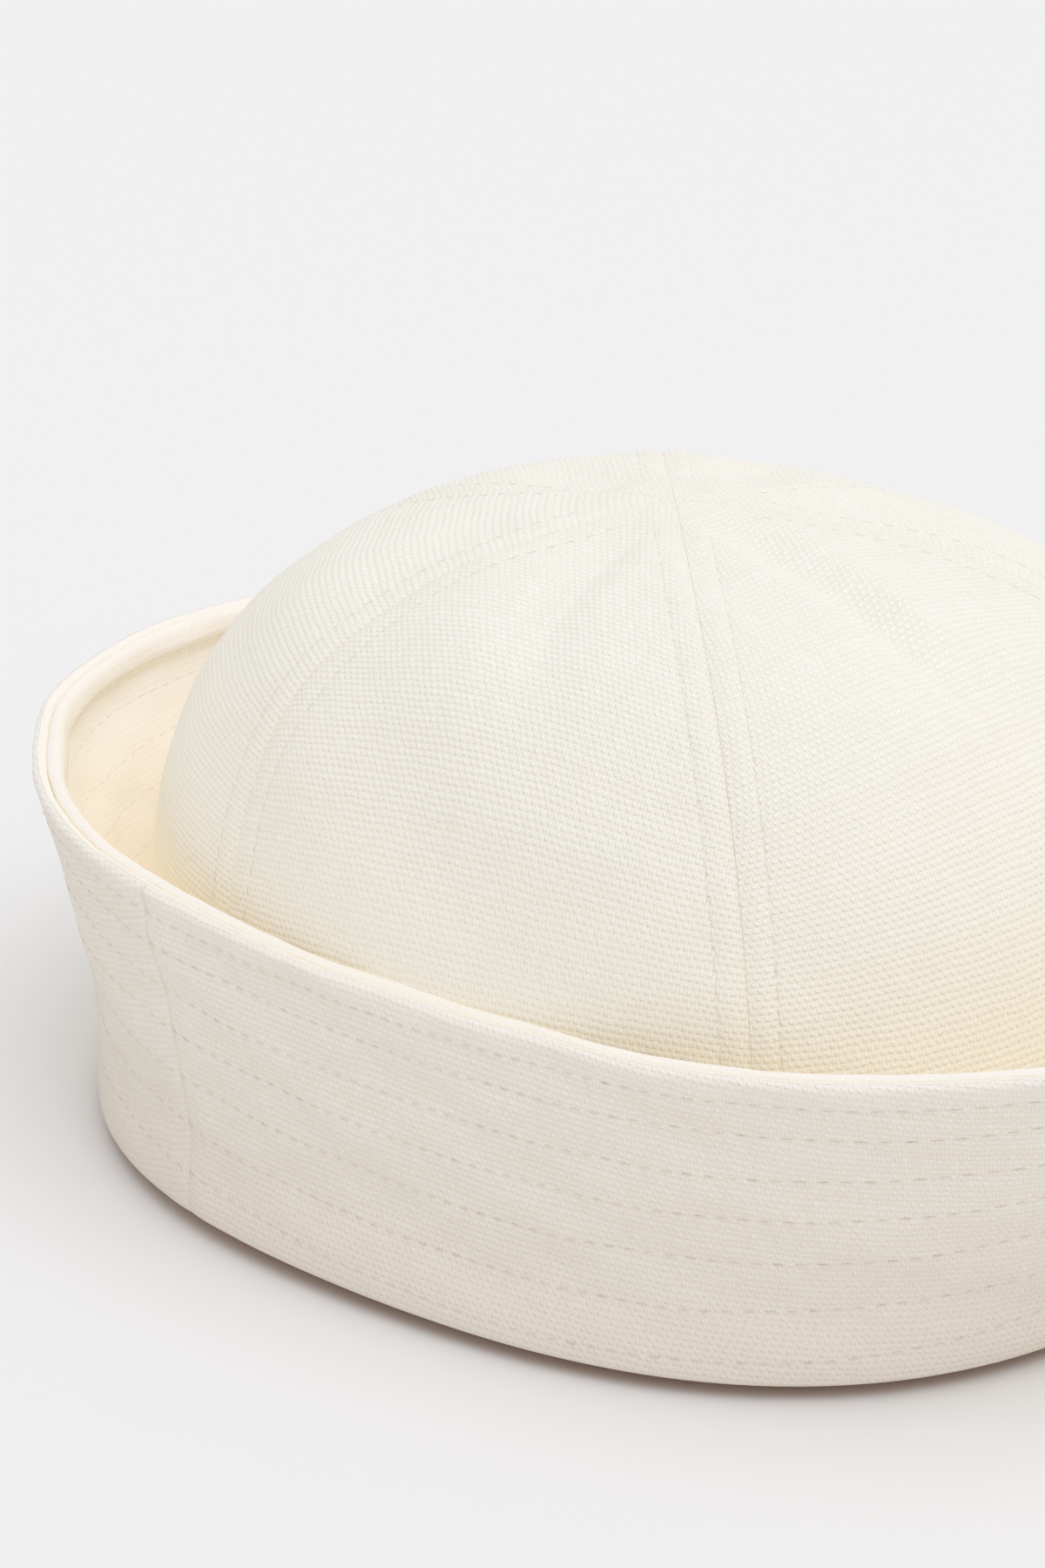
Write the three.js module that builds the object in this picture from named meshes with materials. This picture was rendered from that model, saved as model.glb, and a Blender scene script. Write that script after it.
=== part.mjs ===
import * as THREE from "three";

// A sailor cap of heavy canvas: six crown gores and a turned-up brim of two plies.
// Millimetres, +Z up. The cap rests on z = 0 by the fold at the foot of its brim. The origin lies under
// the middle of the brim's rim, and X runs along the cap's longer side.

// Driving dimensions

const SEAM_GAP = 0.3; // clear space between neighbouring pieces
const SQUARENESS = 0.03; // how far the plan leaves an ellipse towards a rounded rectangle

const CROWN = {
  centreX: -3.1, // middle of the head opening
  halfLength: 96.4, // outer face at the head opening, along X
  halfWidth: 91.2, // outer face at the head opening, along Y
  height: 108.4,
  planPower: 2.78, // fullness of the dome's side profile, outwards
  risePower: 3.44, // fullness of the dome's side profile, upwards
  apexShiftX: -4.9, // the soft dome leans this far from the middle of the opening
  apexShiftY: -4.0,
  peak: 1.2, // the cloth stands this much higher where the seams meet
  peakSpread: 20,
  footZ: 2.1, // lower edge of the gores, just above the tuck of the brim
  cloth: 1.4,
};

const BRIM = {
  halfLength: 133.5, // outer face at the rim, along X
  halfWidth: 95.0, // outer face at the rim, along Y
  standOff: 7.0, // outer face of the foot beyond the crown's outer face
  height: 59.3,
  tilt: 3.0, // the rim stands this much higher towards tiltAzimuth
  tiltAzimuth: 64,
  saddle: 4.1, // the rim's two ends stand this much higher than its middle
  saddleAzimuth: 16,
  joinSlant: -10, // degrees that a join moves round the cap between the foot and the rim
  flare: 1.2, // above 1 the wall starts upright and leans out towards the rim
  cloth: 1.5, // each ply of the wall
  rimCloth: 2.3, // each ply at the rim, where its edge is turned in
  rimBand: 6.0, // depth of that thicker edge
  plyGap: 0.6, // groove between the two plies
  foldRadius: 1.6, // outside corner of the foot
};

// Azimuth of each crown seam, in degrees from +X towards +Y
const SEAMS = [-117.8, -54.2, 22.8, 73.5, 124.3, 183.2];

// Azimuth, at the foot, of the two joins of the brim
const JOINS = [-113.8, 66.2];

// Soft folds that run down from the top of the crown. start and end are shares of the way from the apex to
// the foot, width is how far the fold spreads to each side, and lift is its height, negative for a dent.
const FOLDS = [
  { azimuth: -22, start: 0.08, end: 0.5, width: 8, lift: 2.2 },
  { azimuth: -35, start: 0.08, end: 0.46, width: 7, lift: -1.8 },
  { azimuth: -92, start: 0.08, end: 0.4, width: 9, lift: 1.6 },
  { azimuth: -76, start: 0.08, end: 0.36, width: 8, lift: -1.2 },
  { azimuth: -126, start: 0.32, end: 0.62, width: 6, lift: -1.5 },
  { azimuth: -136, start: 0.3, end: 0.6, width: 8, lift: 1.4 },
  { azimuth: 153, start: 0.1, end: 0.42, width: 8, lift: -2.4 },
  { azimuth: 168, start: 0.08, end: 0.4, width: 7, lift: 1.4 },
  { azimuth: 98, start: 0.1, end: 0.4, width: 9, lift: -1.8 },
  { azimuth: 48, start: 0.1, end: 0.42, width: 9, lift: -1.4 },
];

// Mesh fineness
const GORE_ROWS = 16;
const GORE_COLUMNS = 10;
const BRIM_STEPS = 32;
const PROFILE_SAMPLES = 600;

const radians = THREE.MathUtils.degToRad;
const { smoothstep, lerp } = THREE.MathUtils;

// Plan radius of a squarish ellipse at an azimuth in radians.
function planRadius(azimuth, halfLength, halfWidth) {
  const across = Math.hypot(halfWidth * Math.cos(azimuth), halfLength * Math.sin(azimuth));
  return ((halfLength * halfWidth) / across) * (1 - SQUARENESS * Math.cos(4 * azimuth));
}

// The crown's side profile from the apex to the foot, as points evenly spread along its length. reach is
// the share of the plan radius, and rise the share of the height.
function evenProfile() {
  const meanRadius = (CROWN.halfLength + CROWN.halfWidth) / 2;
  const samples = [{ reach: 0, rise: 1, length: 0 }];
  for (let i = 1; i < PROFILE_SAMPLES; i++) {
    const turn = ((i / PROFILE_SAMPLES) * Math.PI) / 2;
    const reach = Math.sin(turn) ** (2 / CROWN.planPower);
    const rise = Math.cos(turn) ** (2 / CROWN.risePower);
    const last = samples[samples.length - 1];
    const step = Math.hypot((reach - last.reach) * meanRadius, (rise - last.rise) * CROWN.height);
    samples.push({ reach, rise, length: last.length + step });
  }
  const last = samples[samples.length - 1];
  const footRise = CROWN.footZ / CROWN.height;
  const footStep = (last.rise - footRise) * CROWN.height;
  samples.push({ reach: 1, rise: footRise, length: last.length + footStep });
  const whole = last.length + footStep;
  return (share) => {
    const at = Math.max(samples.findIndex((s) => s.length >= share * whole - 1e-9), 1);
    const upper = samples[at];
    const lower = samples[at - 1];
    const part = (share * whole - lower.length) / (upper.length - lower.length);
    return { reach: lerp(lower.reach, upper.reach, part), rise: lerp(lower.rise, upper.rise, part) };
  };
}
const profile = evenProfile();

// How far the peak and the folds lift the cloth at a point of the crown.
function foldLift(azimuth, share, radius) {
  let lift = CROWN.peak * Math.exp(-((radius / CROWN.peakSpread) ** 2));
  for (const fold of FOLDS) {
    const aside = azimuth - radians(fold.azimuth);
    if (Math.cos(aside) <= 0) continue;
    const across = (radius * Math.sin(aside)) / fold.width;
    const middle = (fold.start + fold.end) / 2;
    const along = smoothstep(share, fold.start, middle) * (1 - smoothstep(share, middle, fold.end));
    lift += fold.lift * Math.exp(-across * across) * along;
  }
  return lift;
}

// A point of the crown's outer face before its folds.
function smoothCrownPoint(azimuth, share) {
  const { reach, rise } = profile(share);
  const radius = planRadius(azimuth, CROWN.halfLength, CROWN.halfWidth) * reach;
  const lean = rise * rise;
  return new THREE.Vector3(
    CROWN.centreX + radius * Math.cos(azimuth) + CROWN.apexShiftX * lean,
    radius * Math.sin(azimuth) + CROWN.apexShiftY * lean,
    CROWN.height * rise,
  );
}

// The direction square to a surface point(azimuth, share), pointing out of the crown.
function outward(point, azimuth, share) {
  const step = 1e-3;
  const low = Math.max(share - step, 1e-4);
  const high = Math.min(share + step, 1);
  const down = point(azimuth, high).sub(point(azimuth, low));
  const around = point(azimuth + step, share).sub(point(azimuth - step, share));
  return down.cross(around).normalize();
}

// A point of the crown's outer face with its folds.
function crownPoint(azimuth, share) {
  const { reach } = profile(share);
  const radius = planRadius(azimuth, CROWN.halfLength, CROWN.halfWidth) * reach;
  const lift = foldLift(azimuth, share, radius);
  const point = smoothCrownPoint(azimuth, share);
  return point.addScaledVector(outward(smoothCrownPoint, azimuth, share), lift);
}

// A closed solid between two grids of points of the same size. Seen from outside the outer grid, its rows
// run down and its columns run to the right.
function wallSolid(outer, inner) {
  const rows = outer.length;
  const columns = outer[0].length;
  const corners = [...outer.flat(), ...inner.flat()];
  const out = (i, j) => i * columns + j;
  const back = (i, j) => rows * columns + i * columns + j;
  const faces = [];
  const quad = (a, b, c, d) => faces.push(a, b, c, a, c, d);
  for (let i = 0; i + 1 < rows; i++) {
    for (let j = 0; j + 1 < columns; j++) {
      quad(out(i, j), out(i + 1, j), out(i + 1, j + 1), out(i, j + 1));
      quad(back(i, j), back(i, j + 1), back(i + 1, j + 1), back(i + 1, j));
    }
    const right = columns - 1;
    quad(out(i, 0), back(i, 0), back(i + 1, 0), out(i + 1, 0));
    quad(out(i, right), out(i + 1, right), back(i + 1, right), back(i, right));
  }
  for (let j = 0; j + 1 < columns; j++) {
    const foot = rows - 1;
    quad(out(0, j), out(0, j + 1), back(0, j + 1), back(0, j));
    quad(out(foot, j), back(foot, j), back(foot, j + 1), out(foot, j + 1));
  }
  return solidGeometry(corners, faces);
}

function solidGeometry(corners, faces) {
  const geometry = new THREE.BufferGeometry().setFromPoints(corners);
  geometry.setIndex(faces);
  geometry.computeVertexNormals();
  return geometry;
}

// One gore: a curved wedge of cloth between two seams, from just beside the apex to the foot.
function crownGore(from, to) {
  const outer = [];
  const inner = [];
  const firstShare = 0.006;
  for (let i = 0; i <= GORE_ROWS; i++) {
    const share = lerp(firstShare, 1, i / GORE_ROWS);
    const radius = profile(share).reach * CROWN.halfWidth;
    const inset = Math.asin(SEAM_GAP / 2 / radius);
    outer.push([]);
    inner.push([]);
    for (let j = 0; j <= GORE_COLUMNS; j++) {
      const azimuth = lerp(from + inset, to - inset, j / GORE_COLUMNS);
      const point = crownPoint(azimuth, share);
      outer[i].push(point);
      inner[i].push(point.clone().addScaledVector(outward(crownPoint, azimuth, share), -CROWN.cloth));
    }
  }
  const foot = inner[GORE_ROWS];
  foot.forEach((point) => (point.z = CROWN.footZ));
  return wallSolid(outer, inner);
}

// Height of the brim's rim above the surface, over the foot's azimuth.
function rimHeight(azimuth) {
  const turned = azimuth + radians(BRIM.joinSlant);
  const tilt = BRIM.tilt * Math.cos(turned - radians(BRIM.tiltAzimuth));
  const saddle = BRIM.saddle * Math.cos(2 * (turned - radians(BRIM.saddleAzimuth)));
  return BRIM.height + tilt + saddle;
}

// A place in the brim's wall, over an azimuth of the foot: share of the height up its outer face, then
// depth mm straight in from it. The wall turns by the slant of its joins on the way up.
function brimPoint(azimuth, share, depth) {
  const footLength = CROWN.halfLength + BRIM.standOff;
  const footWidth = CROWN.halfWidth + BRIM.standOff;
  const turned = azimuth + radians(BRIM.joinSlant) * share;
  const foot = planRadius(turned, footLength, footWidth);
  const rim = planRadius(turned, BRIM.halfLength, BRIM.halfWidth);
  const lean = share ** BRIM.flare;
  const radius = lerp(foot, rim, lean) - depth;
  return new THREE.Vector3(
    CROWN.centreX * (1 - lean) + radius * Math.cos(turned),
    radius * Math.sin(turned),
    rimHeight(azimuth) * share,
  );
}

// Thickness of a ply, which grows over the turned-in edge at the rim.
function plyThickness(azimuth, share) {
  const below = rimHeight(azimuth) * (1 - share);
  return lerp(BRIM.rimCloth, BRIM.cloth, smoothstep(below, BRIM.rimBand / 2, BRIM.rimBand));
}

// The rounded top edge of a ply, from its outer face to its inner face. depth is that of the ply's outer
// face.
function rimEdge(azimuth, depth) {
  const half = BRIM.rimCloth / 2;
  const rimZ = rimHeight(azimuth);
  return [180, 135, 90, 45, 0].map((degrees) => {
    const turn = radians(degrees);
    const share = (rimZ - half + half * Math.sin(turn)) / rimZ;
    return brimPoint(azimuth, share, depth + half + half * Math.cos(turn));
  });
}

const WALL_SHARES = [0.12, 0.3, 0.5, 0.7, 0.86, 0.92];

// Section of the outer ply, running up its outer face, over the rim, down its inner face and round the
// tuck under the inner ply and the crown's lower edge.
function outerPlySection(azimuth) {
  const tuckTop = CROWN.footZ - SEAM_GAP;
  const tuckReach = BRIM.standOff + CROWN.cloth;
  const rimZ = rimHeight(azimuth);
  const level = (z) => z / rimZ;
  const up = WALL_SHARES.map((share) => brimPoint(azimuth, share, 0));
  const down = [...WALL_SHARES].reverse();
  return [
    brimPoint(azimuth, level(0), BRIM.foldRadius),
    brimPoint(azimuth, level(BRIM.foldRadius * 0.3), BRIM.foldRadius * 0.3),
    brimPoint(azimuth, level(BRIM.foldRadius), 0),
    ...up,
    ...rimEdge(azimuth, 0),
    ...down.map((share) => brimPoint(azimuth, share, plyThickness(azimuth, share))),
    brimPoint(azimuth, level(tuckTop), BRIM.cloth),
    brimPoint(azimuth, level(tuckTop), tuckReach),
    brimPoint(azimuth, level(0), tuckReach),
  ];
}

// Section of the inner ply: a plain wall that stands on the tuck, behind the outer ply.
function innerPlySection(azimuth) {
  const outerFace = (share) => plyThickness(azimuth, share) + BRIM.plyGap;
  const innerFace = (share) => outerFace(share) + plyThickness(azimuth, share);
  const foot = CROWN.footZ / rimHeight(azimuth);
  const shares = [foot, ...WALL_SHARES];
  const rimDepth = BRIM.rimCloth + BRIM.plyGap;
  return [
    ...shares.map((share) => brimPoint(azimuth, share, outerFace(share))),
    ...rimEdge(azimuth, rimDepth),
    ...[...shares].reverse().map((share) => brimPoint(azimuth, share, innerFace(share))),
  ];
}

// A closed band that carries a section from one azimuth to another.
function bandSolid(section, from, to) {
  const rings = [];
  for (let i = 0; i <= BRIM_STEPS; i++) rings.push(section(lerp(from, to, i / BRIM_STEPS)));
  const count = rings[0].length;
  const faces = [];
  for (let i = 0; i < BRIM_STEPS; i++) {
    for (let j = 0; j < count; j++) {
      const next = (j + 1) % count;
      const a = i * count + j;
      const b = i * count + next;
      const c = (i + 1) * count + next;
      const d = (i + 1) * count + j;
      faces.push(a, d, c, a, c, b);
    }
  }
  const outline = (ring, azimuth) =>
    ring.map((p) => new THREE.Vector2(p.x * Math.cos(azimuth) + p.y * Math.sin(azimuth), p.z));
  const last = BRIM_STEPS * count;
  for (const [a, b, c] of THREE.ShapeUtils.triangulateShape(outline(rings[0], from), [])) {
    faces.push(a, b, c);
  }
  for (const [a, b, c] of THREE.ShapeUtils.triangulateShape(outline(rings[BRIM_STEPS], to), [])) {
    faces.push(last + a, last + c, last + b);
  }
  return solidGeometry(rings.flat(), faces);
}

const crownCanvas = { color: 0xf1ece0, roughness: 0.9, metalness: 0 };
const brimCanvas = { color: 0xe9e3d7, roughness: 0.9, metalness: 0 };

function piece(name, geometry, cloth) {
  const mesh = new THREE.Mesh(geometry, new THREE.MeshStandardMaterial(cloth));
  mesh.name = name;
  return mesh;
}

const cap = new THREE.Group();

SEAMS.forEach((seam, i) => {
  const nextSeam = i + 1 < SEAMS.length ? SEAMS[i + 1] : SEAMS[0] + 360;
  const gore = crownGore(radians(seam), radians(nextSeam));
  cap.add(piece(`crown_gore_${i + 1}`, gore, crownCanvas));
});

const joinInset = SEAM_GAP / 2 / CROWN.halfWidth;
JOINS.forEach((join, i) => {
  const nextJoin = i + 1 < JOINS.length ? JOINS[i + 1] : JOINS[0] + 360;
  const from = radians(join) + joinInset;
  const to = radians(nextJoin) - joinInset;
  cap.add(piece(`brim_outer_${i + 1}`, bandSolid(outerPlySection, from, to), brimCanvas));
  cap.add(piece(`brim_inner_${i + 1}`, bandSolid(innerPlySection, from, to), brimCanvas));
});

export default cap;
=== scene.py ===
"""A canvas sailor cap: six crown gores and a quilted, turned-up brim of two plies.

Every shape is a function of two parameters, worked out in millimetres in the frame's own axes and put
into its mesh in metres. The crown runs over (azimuth, share), where share goes from 0 at the apex to 1 at
the foot. The brim runs over (azimuth, share), where share goes from 0 at the foot to 1 at the rim.
"""

import bpy
import numpy as np
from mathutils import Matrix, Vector


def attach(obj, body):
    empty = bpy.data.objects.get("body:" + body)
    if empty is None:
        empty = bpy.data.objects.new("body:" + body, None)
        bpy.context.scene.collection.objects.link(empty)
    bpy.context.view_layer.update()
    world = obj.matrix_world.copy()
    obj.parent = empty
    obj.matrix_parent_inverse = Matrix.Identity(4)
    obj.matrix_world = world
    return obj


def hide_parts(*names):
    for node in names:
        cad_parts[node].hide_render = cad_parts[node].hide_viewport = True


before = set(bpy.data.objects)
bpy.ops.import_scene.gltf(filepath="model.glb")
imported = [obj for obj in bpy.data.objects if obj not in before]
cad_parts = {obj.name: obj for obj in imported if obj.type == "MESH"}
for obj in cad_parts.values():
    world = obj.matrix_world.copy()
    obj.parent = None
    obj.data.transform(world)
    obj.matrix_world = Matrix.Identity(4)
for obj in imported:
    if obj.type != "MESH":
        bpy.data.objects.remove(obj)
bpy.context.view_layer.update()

MM = 0.001
TURN = 2 * np.pi
MEAN_RADIUS = 100  # turns an azimuth into a length round the brim

# ---------------------------------------------------------------------------------------------------
# Driving dimensions, in millimetres and degrees: those of the frame first, then the cloth's own
# ---------------------------------------------------------------------------------------------------

SQUARENESS = 0.03  # how far the plan leaves an ellipse towards a rounded rectangle

CENTRE_X = -3.1  # middle of the head opening
CROWN_HALF_LENGTH = 96.4
CROWN_HALF_WIDTH = 91.2
CROWN_HEIGHT = 108.4
PLAN_POWER = 2.78
RISE_POWER = 3.44
APEX_SHIFT = (-4.9, -4.0)
PEAK = 1.2  # the cloth stands this much higher where the seams meet
PEAK_SPREAD = 20
CROWN_FOOT = 2.1
CROWN_CLOTH = 1.3

RIM_HALF_LENGTH = 133.5
RIM_HALF_WIDTH = 95.0
STAND_OFF = 7.0
RIM_HEIGHT = 59.3
RIM_TILT = 3.0
RIM_TILT_AZIMUTH = 64
RIM_SADDLE = 4.1
RIM_SADDLE_AZIMUTH = 16
JOIN_SLANT = -10  # degrees that a join moves round between the foot and the rim
FLARE = 1.2  # above 1 the wall starts upright and leans out towards the rim
PLY = 1.4
RIM_PLY = 2.7
RIM_BAND = 6.0  # depth of the rim's turned-in edge, where the plies are thicker
PLY_GAP = 0.12

SEAMS = np.radians([-117.8, -54.2, 22.8, 73.5, 124.3, 183.2])
JOINS = np.radians([-113.8, 66.2])

# Sewing
SEAM_ROLL = 0.16  # radius of the folded edge at a crown seam
SEAM_INSET = 0.01  # half of the slit between two gores
TOPSTITCH = 4.6  # distance of the topstitching from a crown seam
ALLOWANCE = 8.0  # width of the seam allowance behind the cloth
ALLOWANCE_CLOTH = 0.8  # thickness of that allowance
CROWN_PITCH = 3.7  # length of a stitch
BRIM_PITCH = 3.2
QUILTING = (3.9, 9.2, 16.6, 23.7, 31.3, 39.5, 47.1)  # rows of stitches, measured down from the rim


# ---------------------------------------------------------------------------------------------------
# Small shape helpers
# ---------------------------------------------------------------------------------------------------


def smoothstep(x, low, high):
    """0 below low, 1 above high, and 3t^2 - 2t^3 between."""
    t = np.clip((x - low) / (high - low), 0, 1)
    return t * t * (3 - 2 * t)


def bell(x, width):
    """A Gauss curve of height 1: e to the power of minus (x / width) squared."""
    return np.exp(-((x / width) ** 2))


def turn_between(azimuth, other):
    """The turn from other to azimuth, between minus half a round and half a round."""
    return (azimuth - other + np.pi) % TURN - np.pi


def plan_radius(azimuth, half_length, half_width):
    """Polar radius of an ellipse, times one less a small share of the cosine of four times the azimuth."""
    across = np.hypot(half_width * np.cos(azimuth), half_length * np.sin(azimuth))
    return half_length * half_width / across * (1 - SQUARENESS * np.cos(4 * azimuth))


def spans(marks):
    """Neighbouring marks round the cap in pairs, with the last pair closing the round."""
    return zip(marks, np.append(marks[1:], marks[0] + TURN))


def unit(vectors):
    """Vectors divided by their own lengths."""
    return vectors / np.maximum(np.linalg.norm(vectors, axis=-1, keepdims=True), 1e-12)


def normals(surface, azimuth, share, step=2e-3):
    """Cross product of the surface's slopes along share and along azimuth, made one long."""
    low = np.maximum(share - step, 1e-4)
    high = np.minimum(share + step, 1)
    down = surface(azimuth, high) - surface(azimuth, low)
    around = surface(azimuth + step, share) - surface(azimuth - step, share)
    return unit(np.cross(down, around))


def ripple(a, b, waves):
    """A sum of sines, each with its own amplitude, its own counts along a and b, and its own start."""
    return sum(size * np.sin(along_a * a + along_b * b + start) for size, along_a, along_b, start in waves)


# ---------------------------------------------------------------------------------------------------
# Crown
# ---------------------------------------------------------------------------------------------------


def crown_profile():
    """Side profile: reach is sin(t)^(2/plan power) and rise is cos(t)^(2/rise power), evenly spread."""
    turn = np.linspace(0, np.pi / 2, 601)[:-1]
    reach = np.append(np.sin(turn) ** (2 / PLAN_POWER), 1)
    rise = np.append(np.cos(turn) ** (2 / RISE_POWER), CROWN_FOOT / CROWN_HEIGHT)
    mean_radius = (CROWN_HALF_LENGTH + CROWN_HALF_WIDTH) / 2
    steps = np.hypot(np.diff(reach) * mean_radius, np.diff(rise) * CROWN_HEIGHT)
    length = np.append(0, np.cumsum(steps))
    return length / length[-1], reach, rise, length[-1]


PROFILE_SHARE, PROFILE_REACH, PROFILE_RISE, CROWN_LENGTH = crown_profile()


def crown_radius(azimuth, share):
    """Polar radius of the crown: its plan's radius times the side profile's reach."""
    reach = np.interp(share, PROFILE_SHARE, PROFILE_REACH)
    return reach * plan_radius(azimuth, CROWN_HALF_LENGTH, CROWN_HALF_WIDTH)


def smooth_crown(azimuth, share):
    """The dome without folds: plan radius times reach, height times rise, leaning with rise squared."""
    rise = np.interp(share, PROFILE_SHARE, PROFILE_RISE)
    radius = crown_radius(azimuth, share)
    x = CENTRE_X + radius * np.cos(azimuth) + APEX_SHIFT[0] * rise**2
    y = radius * np.sin(azimuth) + APEX_SHIFT[1] * rise**2
    return np.stack([x, y, CROWN_HEIGHT * rise], -1)


# Folds in the crown. Each runs from one place to another, both as (azimuth, millimetres down from the
# apex). before and after are how far it spreads on the side of lower and of higher azimuth, and lift is
# its height, negative for a dent.
FOLDS = [
    dict(start=(-22, 8), end=(-20, 76), before=4, after=5.5, lift=-2.6),
    dict(start=(-9, 12), end=(-10, 66), before=5, after=8, lift=0.7),
    dict(start=(-87, 8), end=(-84, 66), before=8, after=4.5, lift=-1.8),
    dict(start=(-82, 50), end=(-80, 92), before=9, after=7, lift=-0.7),
    dict(start=(-134, 30), end=(-136, 84), before=8, after=6, lift=1.1),
    dict(start=(-146, 24), end=(-148, 60), before=8, after=6, lift=-0.9),
    dict(start=(158, 10), end=(156, 44), before=8, after=9, lift=-2.0),
    dict(start=(98, 14), end=(102, 50), before=9, after=9, lift=-1.8),
    dict(start=(44, 14), end=(50, 60), before=9, after=9, lift=-0.9),
]

# Shallow dimples of the crown: azimuth, millimetres down from the apex, radius and lift
DIMPLES = [
    (-94, 97, 10, -0.5),
    (-70, 101, 7, -0.45),
    (-57, 105, 5, -0.4),
    (-48, 108, 6, -0.45),
    (-63, 91, 6, 0.3),
    (-110, 88, 8, 0.3),
    (10, 96, 12, -0.5),
    (52, 90, 10, -0.5),
    (96, 98, 10, 0.4),
    (150, 92, 11, -0.5),
    (-160, 86, 10, 0.4),
]

CROWN_WAVES = [(0.28, 5, 6, 0.4), (0.22, 8, -9, 2.1), (0.16, -11, 13, 4.4), (0.08, 19, 17, 1.3)]


def seam_distance(azimuth, share):
    """Distance along the cloth to the nearest crown seam."""
    radius = crown_radius(azimuth, share)
    turns = np.abs(turn_between(azimuth[..., None], SEAMS))
    return radius * turns.min(-1)


def crown_folds(azimuth, share):
    """Peak and folds: a sum of bells across each fold's line, faded in and out along it."""
    down = share * CROWN_LENGTH
    radius = crown_radius(azimuth, share)
    lift = PEAK * bell(radius, PEAK_SPREAD)
    for fold in FOLDS:
        (start_azimuth, start), (end_azimuth, end) = fold["start"], fold["end"]
        along = np.clip((down - start) / (end - start), 0, 1)
        line = np.radians(start_azimuth + (end_azimuth - start_azimuth) * along)
        turn = turn_between(azimuth, line)
        aside = radius * np.sin(turn)
        width = np.where(aside < 0, fold["before"], fold["after"])
        window = smoothstep(along, 0, 0.3) * (1 - smoothstep(along, 0.6, 1))
        lift = lift + fold["lift"] * bell(aside, width) * window * (np.cos(turn) > 0)
    for at_azimuth, at_down, spread, height in DIMPLES:
        aside = radius * turn_between(azimuth, np.radians(at_azimuth))
        lift = lift + height * bell(np.hypot(aside, down - at_down), spread)
    return lift


def crown_sewing(azimuth, share):
    """How far seams and topstitching lift the cloth or pull it in: a rolled edge, a groove at the
    stitches, a puff between them and the seam, and a wide valley with a narrow ditch at the seam."""
    apart = seam_distance(azimuth, share)
    down = share * CROWN_LENGTH
    roll = np.clip(SEAM_ROLL - apart, 0, SEAM_ROLL)
    edge = SEAM_ROLL - np.sqrt(SEAM_ROLL**2 - roll**2)
    sewn = smoothstep(down, 9, 16)
    hole = 0.5 + 0.5 * np.cos(TURN * down / CROWN_PITCH)
    groove = (0.08 + 0.1 * hole) * bell(apart - TOPSTITCH, 0.6) * sewn
    puff = 0.12 * bell(apart - 2.4, 1.6) * sewn
    valley = 0.4 * bell(apart, 14) * smoothstep(down, 14, 50)
    ditch = 0.3 * bell(apart, 1.2) * smoothstep(down, 8, 50)
    return puff - edge - groove - valley - ditch


def crown_relief(azimuth, share):
    """What the cloth adds to the dome: its folds, its sewing, and waves that fade in from the apex."""
    waves = ripple(azimuth, share * 2, CROWN_WAVES) * smoothstep(share, 0.02, 0.2)
    return crown_folds(azimuth, share) + crown_sewing(azimuth, share) + waves


def crown(azimuth, share, depth=0.0):
    """The crown's face: the smooth dome plus its relief along the normal, less a depth into the cloth."""
    out = normals(smooth_crown, azimuth, share)
    lift = crown_relief(azimuth, share) - depth
    return smooth_crown(azimuth, share) + out * lift[..., None]


# Distances from a seam at which the gore's columns are set closer
SEAM_COLUMNS = np.array(
    [0, 0.05, 0.12, 0.2, 0.3, 0.42, 0.8, 1.4, 2.1, 2.8, 3.4, 3.9, 4.25, 4.6, 4.95, 5.3, 5.9, 6.8, 8.0, 9.2]
)
GORE_ROWS = 132
GORE_MIDDLE = 52  # columns between the close ones
FIRST_SHARE = 0.0006  # the gores' tips stop this share short of the apex


def gore_columns(start, end, share):
    """Azimuths across a gore: set distances from both seams, shrunk where the gore is narrow, and even
    steps between them."""
    radius = crown_radius(np.full_like(share, (start + end) / 2), share)
    half = radius * (end - start) / 2
    fit = np.minimum(1, half / (1.5 * SEAM_COLUMNS[-1]))[:, None]
    inset = np.minimum(SEAM_INSET, half * 0.05)[:, None]
    near = (SEAM_COLUMNS * fit + inset) / radius[:, None]
    left = start + near
    right = end - near[:, ::-1]
    part = np.linspace(0, 1, GORE_MIDDLE + 2)[1:-1]
    middle = left[:, -1:] + (right[:, :1] - left[:, -1:]) * part
    return np.concatenate([left, middle, right], 1)


def towards(azimuth, degrees, spread):
    """A bell of height 1 round the cap about a direction, with its spread, both in degrees."""
    return bell(turn_between(azimuth, np.radians(degrees)), np.radians(spread))


def narrow(azimuth):
    """How far a place is on the narrow side of the hollow, where the painted glow is strongest, and on the
    crown the painted warm bounce light too.
    """
    return towards(azimuth, -132, 30)


def gore(start, end):
    """Outer and inner faces of a gore, its flat pattern with the narrow side's share, and its distances
    from the seam and from the apex."""
    rows = FIRST_SHARE + (1 - FIRST_SHARE) * np.linspace(0, 1, GORE_ROWS + 1) ** 1.08
    azimuth = gore_columns(start, end, rows)
    share = np.repeat(rows[:, None], azimuth.shape[1], 1)
    outer = crown(azimuth, share)
    apart = seam_distance(azimuth, share)
    down = share * CROWN_LENGTH
    behind = ALLOWANCE_CLOTH * smoothstep(ALLOWANCE - apart, 0, 0.8) * smoothstep(down, 12, 20)
    inner = crown(azimuth, share, CROWN_CLOTH + behind)
    inner[-1, :, 2] = outer[-1, :, 2]

    middle = (start + end) / 2
    radius = crown_radius(azimuth, share)
    spread = np.gradient(radius.mean(1), down[:, 0])[:, None]
    across = radius * (azimuth - middle)
    up = -down + across * (azimuth - middle) * spread / 2
    cloth = np.stack([across, up, narrow(azimuth)], -1)
    sewn = np.stack([apart, down, np.zeros_like(up)], -1)
    return outer, inner, cloth, sewn


# ---------------------------------------------------------------------------------------------------
# Brim
# ---------------------------------------------------------------------------------------------------

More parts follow.
